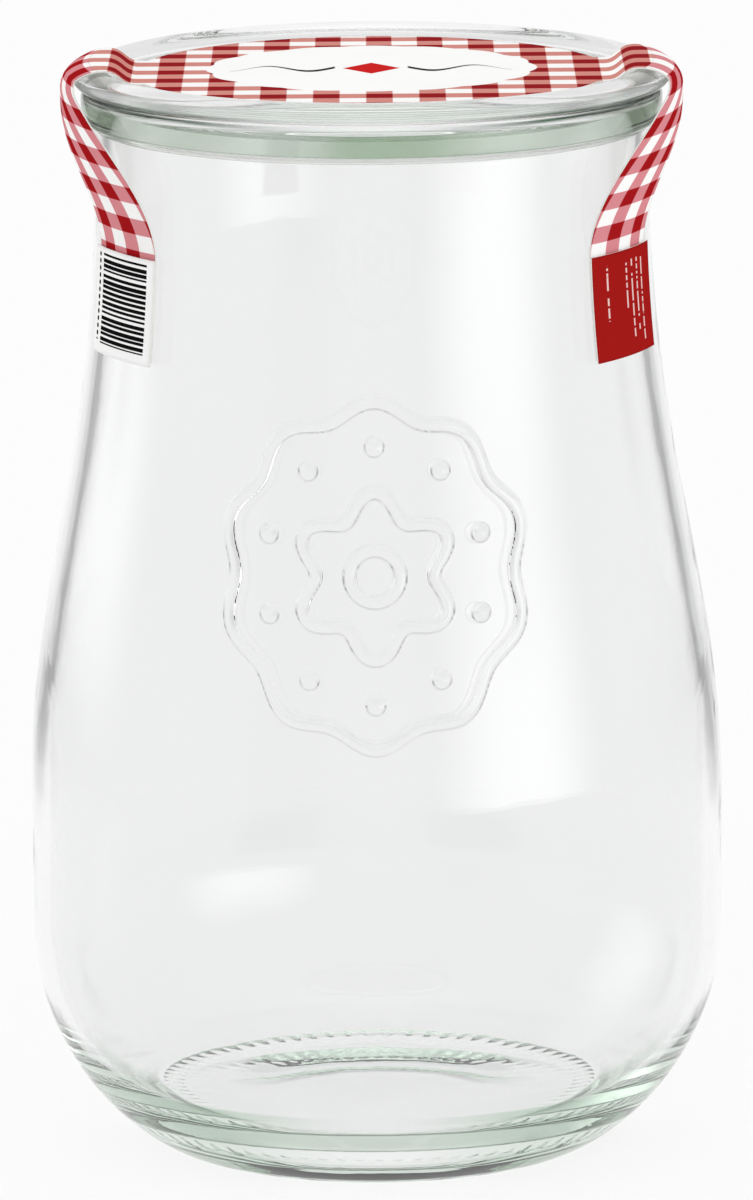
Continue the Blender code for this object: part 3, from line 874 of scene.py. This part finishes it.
def moulded_edges(graph):
    """1 on the medallion's ridges and studs and 0 beside them, with a short rise between."""
    place = graph.axes(graph.node('ShaderNodeAttribute', attribute_name="moulding").outputs["Vector"])
    across, up = place["X"], place["Y"]
    reach = graph.length(across, up)

    turn = graph.math('ARCTAN2', graph.math('DIVIDE', across, MEDALLION_HALF_WIDTH),
                      graph.math('DIVIDE', up, MEDALLION_HALF_HEIGHT))
    wave = graph.math('MULTIPLY', graph.math('COSINE', graph.math('MULTIPLY', turn, SCALLOPS)), SCALLOP_DEPTH)
    share = graph.length(graph.math('DIVIDE', across, graph.math('ADD', wave, MEDALLION_HALF_WIDTH)),
                         graph.math('DIVIDE', up, graph.math('ADD', wave, MEDALLION_HALF_HEIGHT)))
    inner_reach = graph.math('DIVIDE', reach, graph.math('MAXIMUM', share, LEAST_SHARE))
    to_scallops = graph.math('SUBTRACT', reach, inner_reach)

    petal_turn = graph.math('MULTIPLY', graph.math('ARCTAN2', across, up), ROSETTE_PETALS)
    petals = graph.math('MULTIPLY', graph.math('COSINE', petal_turn), ROSETTE_PETAL_DEPTH)
    slope = graph.math('MULTIPLY', graph.math('SINE', petal_turn),
                       ROSETTE_PETALS * ROSETTE_PETAL_DEPTH / ROSETTE_RADIUS)
    past_petals = graph.math('SUBTRACT', reach, graph.math('ADD', petals, ROSETTE_RADIUS))
    to_rosette = graph.math('DIVIDE', past_petals, graph.length(slope, 1.0))
    to_eye = graph.math('SUBTRACT', reach, EYE_RADIUS)

    stud_width = MEDALLION_HALF_WIDTH - STUD_RING_INSET
    stud_height = MEDALLION_HALF_HEIGHT - STUD_RING_INSET
    stud_turn = graph.math('ARCTAN2', graph.math('DIVIDE', across, stud_width),
                           graph.math('DIVIDE', up, stud_height))
    stud_turn = graph.math('SNAP', graph.math('ADD', stud_turn, math.pi / SCALLOPS), 2 * math.pi / SCALLOPS)
    stud_across = graph.math('MULTIPLY', graph.math('SINE', stud_turn), stud_width)
    stud_up = graph.math('MULTIPLY', graph.math('COSINE', stud_turn), stud_height)
    to_stud = graph.length(graph.math('SUBTRACT', across, stud_across), graph.math('SUBTRACT', up, stud_up))

    to_inner_line = graph.math('MINIMUM', graph.math('ABSOLUTE', to_rosette), graph.math('ABSOLUTE', to_eye))
    to_line = graph.math('MINIMUM', graph.math('ABSOLUTE', to_scallops), to_inner_line)
    half_width = RIDGE_WIDTH / 2
    ridges = graph.step(to_line, half_width - EDGE_RUN, half_width + EDGE_RUN, 1.0, 0.0)
    studs = graph.step(to_stud, STUD_RADIUS - EDGE_RUN, STUD_RADIUS + EDGE_RUN, 1.0, 0.0)
    return graph.math('MAXIMUM', ridges, studs)


def make_glass(name, density, waviness, rings, moulded=False):
    """Clear soda-lime glass with greener rings; the gap, heel and foot-edge rings also carry painted shade.
    """
    made = bpy.data.materials.new(name)
    graph = Graph(made)
    place = graph.object_place()
    axes = graph.axes(place)
    radius = graph.length(axes["X"], axes["Y"])
    drift = graph.step(graph.noise(place, TINT_DRIFTS), 0.25, 0.65, TINT_DRIFT_LEAST, 1.0)
    glass_tint_and_shade = CLEAR_TINT
    aside = graph.math('DIVIDE', graph.math('ABSOLUTE', axes["X"]),
                       graph.math('MAXIMUM', radius, LEAST_REACH))
    sideways = graph.step(aside, SIDES_FROM, SIDES_TO)
    front_half = graph.step(axes["Y"], -FRONT_EASE, 0.0, 1.0, 0.0)
    # The gap, heel and foot-edge rings paint shade: kept to the front half and stronger at the sides
    for least_radius, low, high, colour, middle, sides, back in rings:
        inside = graph.math('MULTIPLY', within(graph, axes["Z"], low, high, RING_SOFTNESS),
                            graph.step(radius, least_radius - RING_SOFTNESS, least_radius + RING_SOFTNESS))
        inside = graph.math('MULTIPLY', inside, graph.blend_numbers(sideways, middle, sides))
        if not back:
            inside = graph.math('MULTIPLY', inside, front_half)
        glass_tint_and_shade = graph.mix(graph.math('MULTIPLY', inside, drift), glass_tint_and_shade, colour)
    wave = graph.math('ADD', graph.noise(place, WIDE_WAVES),
                      graph.math('MULTIPLY', graph.noise(place, FINE_WAVES), FINE_WAVE_SHARE))
    surface = graph.bump(wave, waviness, WAVE_HEIGHT)
    if moulded:
        surface = graph.bump(moulded_edges(graph), 1.0, EDGE_RISE, Normal=surface)
    shader = graph.node('ShaderNodeBsdfPrincipled', {
        "Base Color": glass_tint_and_shade,
        "Roughness": graph.step(graph.noise(place, HAZE_PATCHES), 0.3, 0.8, 0.0, HAZE_MOST),
        "IOR": GLASS_IOR,
        "Transmission Weight": 1.0,
        "Normal": surface})
    depth = graph.node('ShaderNodeVolumeAbsorption', {"Color": GLASS_DEPTH_COLOUR, "Density": density})
    graph.output('ShaderNodeOutputMaterial', Surface=shader.outputs[0], Volume=depth.outputs[0])
    return made


def paper_shader(graph, colour, roughness=PAPER_ROUGHNESS):
    """Uncoated paper: faint fibres in its colour, shine and surface."""
    place = graph.object_place()
    fibres = graph.noise(place, FIBRES, FIBRE_DETAIL, FIBRE_ROUGHNESS)
    clouds = graph.noise(place, CLOUDS)
    shade = graph.math('ADD', graph.step(fibres, 0.25, 0.75, FIBRE_TONE, 1.0),
                       graph.step(clouds, 0.3, 0.7, -CLOUD_TONE, CLOUD_TONE))
    height = graph.math('ADD', fibres, graph.math('MULTIPLY', clouds, 2.0))
    shader = graph.node('ShaderNodeBsdfPrincipled', {
        "Base Color": graph.mix(1.0, colour, shade, 'MULTIPLY'),
        "Roughness": graph.step(fibres, 0.2, 0.8, roughness - 0.06, roughness + 0.08),
        "IOR": PAPER_IOR,
        "Specular IOR Level": 0.0,
        "Normal": graph.bump(height, FIBRE_BUMP, FIBRE_HEIGHT)})
    graph.output('ShaderNodeOutputMaterial', Surface=shader.outputs[0])


def stripe(graph, value, centre, width, soften=0.00012):
    """1 on every other stripe of that width, the first one round centre."""
    swing = graph.math('PINGPONG', graph.math('SUBTRACT', value, centre), width)
    return graph.step(swing, width / 2 - soften, width / 2 + soften, 1.0, 0.0)


def print_place(graph):
    return graph.axes(graph.node('ShaderNodeUVMap', uv_map="print").outputs[0])


def gingham(graph, along, across, pink, red):
    """Red checks where both sets of stripes cross, pink where only one runs."""
    first = stripe(graph, along, FIRST_STRIPE_ALONG, STRIPE_ALONG)
    second = stripe(graph, across, FIRST_STRIPE_ACROSS, STRIPE_ACROSS)
    single = graph.mix(graph.math('MAXIMUM', first, second), GINGHAM_WHITE, pink)
    return graph.mix(graph.math('MULTIPLY', first, second), single, red)


def plaque(graph, x, y, ground):
    """A scalloped white plaque with a red lozenge between two tapering black waves."""
    y = graph.math('SUBTRACT', y, PLAQUE_CENTRE_Y)
    wide = graph.math('DIVIDE', x, PLAQUE_HALF_LENGTH)
    deep = graph.math('DIVIDE', y, PLAQUE_HALF_DEPTH)
    reach = graph.length(wide, deep)
    turn = graph.math('ARCTAN2', deep, wide)
    scallops = graph.math('ABSOLUTE', graph.math('COSINE', graph.math('MULTIPLY', turn, PLAQUE_SCALLOPS / 2)))
    edge = graph.math('SUBTRACT', reach, graph.math('MULTIPLY', scallops, PLAQUE_SCALLOP_DEPTH))
    white = graph.mix(graph.step(edge, *PLAQUE_EDGE, 1.0, 0.0), ground, PLAQUE_WHITE)
    side = graph.math('ABSOLUTE', x)
    swing = graph.math('SINE', graph.math('MULTIPLY', side, STROKE_WAVES))
    wave = graph.math('MULTIPLY', swing, STROKE_SWING)
    off = graph.math('ABSOLUTE', graph.math('SUBTRACT', y, wave))
    past_edge = graph.math('SUBTRACT', off, graph.step(side, *STROKE_TAPER))
    ends = graph.math('MULTIPLY', graph.step(side, *STROKE_START), graph.step(side, *STROKE_END, 1.0, 0.0))
    stroke = graph.math('MULTIPLY', graph.step(past_edge, -STROKE_SOFTNESS, STROKE_SOFTNESS, 1.0, 0.0), ends)
    inked = graph.mix(stroke, white, STROKE_BLACK)
    lozenge = graph.math('ADD', graph.math('DIVIDE', side, LOZENGE_HALF_LENGTH),
                         graph.math('DIVIDE', graph.math('ABSOLUTE', y), LOZENGE_HALF_DEPTH))
    return graph.mix(graph.step(lozenge, *LOZENGE_EDGE, 1.0, 0.0), inked, LOZENGE_RED)


def make_gingham(name, red, pink, with_plaque):
    made = bpy.data.materials.new(name)
    graph = Graph(made)
    place = print_place(graph)
    colour = gingham(graph, place["X"], place["Y"], pink, red)
    if with_plaque:
        colour = plaque(graph, place["X"], place["Y"], colour)
    paper_shader(graph, colour)
    return made


def make_plain_paper(name, colour):
    made = bpy.data.materials.new(name)
    paper_shader(Graph(made), colour)
    return made


def make_barred_paper(name):
    """A white label with a block of level black bars of unlike thickness and a column of dots beside it."""
    made = bpy.data.materials.new(name)
    graph = Graph(made)
    place = print_place(graph)
    across, down = place["X"], place["Y"]
    steps = graph.math('DIVIDE', down, BAR_PITCH)
    chance = graph.node('ShaderNodeTexWhiteNoise', {"W": graph.math('FLOOR', steps)}, noise_dimensions='1D')
    thickness = graph.blend_numbers(chance.outputs["Value"], *BAR_THICKNESSES)
    to_edge = graph.math('SUBTRACT', graph.math('FRACT', steps), thickness)
    block = graph.math('MULTIPLY', within(graph, down, *BARS_DOWN), within(graph, across, *BARS_ACROSS))
    bars = graph.math('MULTIPLY', graph.step(to_edge, -BAR_SOFTNESS, BAR_SOFTNESS, 1.0, 0.0), block)
    to_dot = graph.length(graph.math('PINGPONG', down, HALF_DOT_PITCH),
                          graph.math('SUBTRACT', across, DOTS_ACROSS))
    dots = graph.math('MULTIPLY', graph.step(to_dot, *DOT_EDGE, 1.0, 0.0), within(graph, down, *DOTS_DOWN))
    ink = graph.math('MAXIMUM', bars, dots)
    paper_shader(graph, graph.mix(ink, LABEL_WHITE, LABEL_INK))
    return made


def make_ruled_paper(name):
    """A red label with a few thin white broken rules that run along it."""
    made = bpy.data.materials.new(name)
    graph = Graph(made)
    place = print_place(graph)
    across, down = place["X"], place["Y"]
    ink = None
    for number, (middle, start, end) in enumerate(RULES):
        shifted = graph.math('ADD', down, number * RULE_SHIFT)
        cell = graph.math('FLOOR', graph.math('DIVIDE', shifted, RULE_CELL))
        chance = graph.node('ShaderNodeTexWhiteNoise', {"W": cell}, noise_dimensions='1D').outputs["Value"]
        across_rule = within(graph, across, middle - RULE_HALF_WIDTH, middle + RULE_HALF_WIDTH)
        rule = graph.math('MULTIPLY', graph.step(chance, *RULE_GAPS),
                          graph.math('MULTIPLY', across_rule, within(graph, down, start, end)))
        ink = rule if ink is None else graph.math('MAXIMUM', ink, rule)
    paper_shader(graph, graph.mix(ink, LABEL_RED, RULE_PINK), RED_LABEL_ROUGHNESS)
    return made


def look_level(graph, place, greyed=1.0):
    """Brightness of the studio round the object: white, with grey cards on both sides of the middle axis.

    The darkest cards stand only behind the object.
    """
    axes = graph.axes(place)
    away = graph.math('MAXIMUM', graph.length(axes["X"], axes["Y"]), LEAST_REACH)
    aside = graph.math('DIVIDE', graph.math('ABSOLUTE', axes["X"]), away)
    behind = graph.step(graph.math('DIVIDE', axes["Y"], away), 0.0, BEHIND_EASE)
    level = 1.0
    for (start, full, fading, end, shade), where in ((WIDE_CARDS, 1.0), (NARROW_CARDS, behind)):
        card = graph.math('MULTIPLY', graph.step(aside, start, full),
                          graph.step(aside, fading, end, 1.0, 0.0))
        card = graph.math('MULTIPLY', card, graph.math('MULTIPLY', where, greyed))
        level = graph.blend_numbers(card, level, shade)
    return level


def make_world():
    world = bpy.data.worlds.new("Studio")
    bpy.context.scene.world = world
    graph = Graph(world)
    path = graph.node('ShaderNodeLightPath').outputs
    direction = graph.node('ShaderNodeTexCoord').outputs["Generated"]
    rise = graph.axes(direction)["Z"]
    upper = graph.math('MULTIPLY', graph.step(rise, *UPPER_BAND[:2]),
                       graph.step(rise, *UPPER_BAND[2:], 1.0, 0.0))
    level = graph.blend_numbers(upper, look_level(graph, direction), UPPER_GREY)
    through = graph.math('MAXIMUM', path["Is Glossy Ray"], path["Is Transmission Ray"])
    strength = graph.blend_numbers(through, AMBIENT, level)
    strength = graph.blend_numbers(path["Is Camera Ray"], strength, WHITE)
    background = graph.node('ShaderNodeBackground', {"Color": (1, 1, 1, 1), "Strength": strength})
    graph.output('ShaderNodeOutputWorld', Surface=background.outputs[0])


def make_floor():
    """A round pale floor that keeps the shadow near the object and goes over into the white background."""
    mesh = bpy.data.meshes.new("floor")
    rim = [(FLOOR_REACH * math.cos(angle), FLOOR_REACH * math.sin(angle), -FLOOR_DROP)
           for angle in level_angles(ROUND_STEPS)]
    mesh.from_pydata(rim, [], [tuple(range(ROUND_STEPS))])
    finish = bpy.data.materials.new("pale_floor")
    graph = Graph(finish)
    path = graph.node('ShaderNodeLightPath').outputs
    place = graph.node('ShaderNodeNewGeometry').outputs["Position"]
    away = graph.node('ShaderNodeVectorMath', {0: place}, operation='LENGTH').outputs["Value"]
    through = graph.math('MAXIMUM', path["Is Glossy Ray"], path["Is Transmission Ray"])
    greyed = graph.step(away, CARDS_NEAR, CARDS_FAR)
    level = graph.blend_numbers(path["Is Camera Ray"], look_level(graph, place, greyed), WHITE)
    lit = graph.node('ShaderNodeBsdfDiffuse', {"Color": grey(FLOOR_ALBEDO)})
    glow = graph.node('ShaderNodeEmission', {"Color": (1, 1, 1, 1), "Strength": level})
    far = graph.step(away, FLOOR_NEAR, FLOOR_FAR)
    seen = graph.math('MAXIMUM', through, path["Is Camera Ray"])
    share = graph.math('MULTIPLY', seen, graph.math('MAXIMUM', far, FLOOR_LIFT))
    mixed = graph.node('ShaderNodeMixShader', {0: share, 1: lit.outputs[0], 2: glow.outputs[0]})
    graph.output('ShaderNodeOutputMaterial', Surface=mixed.outputs[0])
    new_piece("floor", mesh, finish)


def soft_box(name, azimuth, elevation, distance, width, height, radiance):
    """A rectangular lamp that faces the jar and fades to its edges; azimuth 0 is at the camera's side."""
    lamp = bpy.data.lights.new(name, 'AREA')
    lamp.shape = 'RECTANGLE'
    lamp.size = width
    lamp.size_y = height
    lamp.energy = radiance * 4 * width * height
    graph = Graph(lamp)
    spread = graph.axes(graph.node('ShaderNodeNewGeometry').outputs["Parametric"])
    fades = [graph.step(graph.math('PINGPONG', spread[axis], 0.5), 0.0, SOFT_BOX_FADE)
             for axis in ("X", "Y")]
    glow = graph.node('ShaderNodeEmission', {"Strength": graph.math('MULTIPLY', *fades)})
    graph.output('ShaderNodeOutputLight', Surface=glow.outputs[0])
    holder = bpy.data.objects.new(name, lamp)
    bpy.context.scene.collection.objects.link(holder)
    holder.visible_camera = False
    turn, rise = math.radians(azimuth), math.radians(elevation)
    away = Vector((math.sin(turn) * math.cos(rise), -math.cos(turn) * math.cos(rise), math.sin(rise)))
    holder.location = Vector((0, 0, MEDALLION_HEIGHT)) + away * distance
    holder.rotation_mode = 'QUATERNION'
    holder.rotation_quaternion = away.to_track_quat('Z', 'Y')


def make_camera():
    camera = bpy.data.objects.new("camera", bpy.data.cameras.new("camera"))
    bpy.context.scene.collection.objects.link(camera)
    camera.data.lens = LENS
    camera.data.sensor_width = SENSOR
    camera.location = CAMERA_PLACE
    camera.rotation_mode = 'QUATERNION'
    aim = (CAMERA_AIM - CAMERA_PLACE).to_track_quat('-Z', 'Y')
    camera.rotation_quaternion = aim @ Quaternion((0, 0, 1), CAMERA_ROLL)
    bpy.context.scene.camera = camera


def set_up_scene():
    scene = bpy.context.scene
    scene.view_settings.view_transform = 'Standard'
    scene.cycles.max_bounces = 32
    scene.cycles.glossy_bounces = 24
    scene.cycles.transmission_bounces = 32
    scene.cycles.diffuse_bounces = 8
    scene.cycles.blur_glossy = 0.0


def main():
    set_up_scene()
    make_camera()
    make_world()
    make_floor()
    for box in SOFT_BOXES:
        soft_box(*box)
    glass = make_glass("bottle_glass", BODY_DENSITY, BODY_WAVINESS, BODY_RINGS, moulded=True)
    lid_glass = make_glass("pressed_glass", LID_DENSITY, LID_WAVINESS, LID_PAINTED_SHADE_RINGS)
    # The same gingham as a shaded copy on the top and a lit copy on the arms
    top_print = make_gingham("gingham_top_print_shaded", TOP_RED_SHADED, TOP_PINK_SHADED, with_plaque=True)
    arm_print = make_gingham("gingham_arm_print_lit", ARM_RED_LIT, ARM_PINK_LIT, with_plaque=False)
    bare = make_plain_paper("bare_paper", BARE_PAPER)
    barred = make_barred_paper("barred_label")
    ruled = make_ruled_paper("ruled_label")
    make_jar_body(glass)
    make_lid(lid_glass)
    make_band_top(top_print, bare)
    make_arm(-1, "left_arm", "band_left_arm", arm_print, bare)
    make_arm(1, "right_arm", "band_right_arm", arm_print, bare)
    make_end_label(-1, "left_arm", "left_end_label", barred, bare)
    make_end_label(1, "right_arm", "right_end_label", ruled, bare)


main()
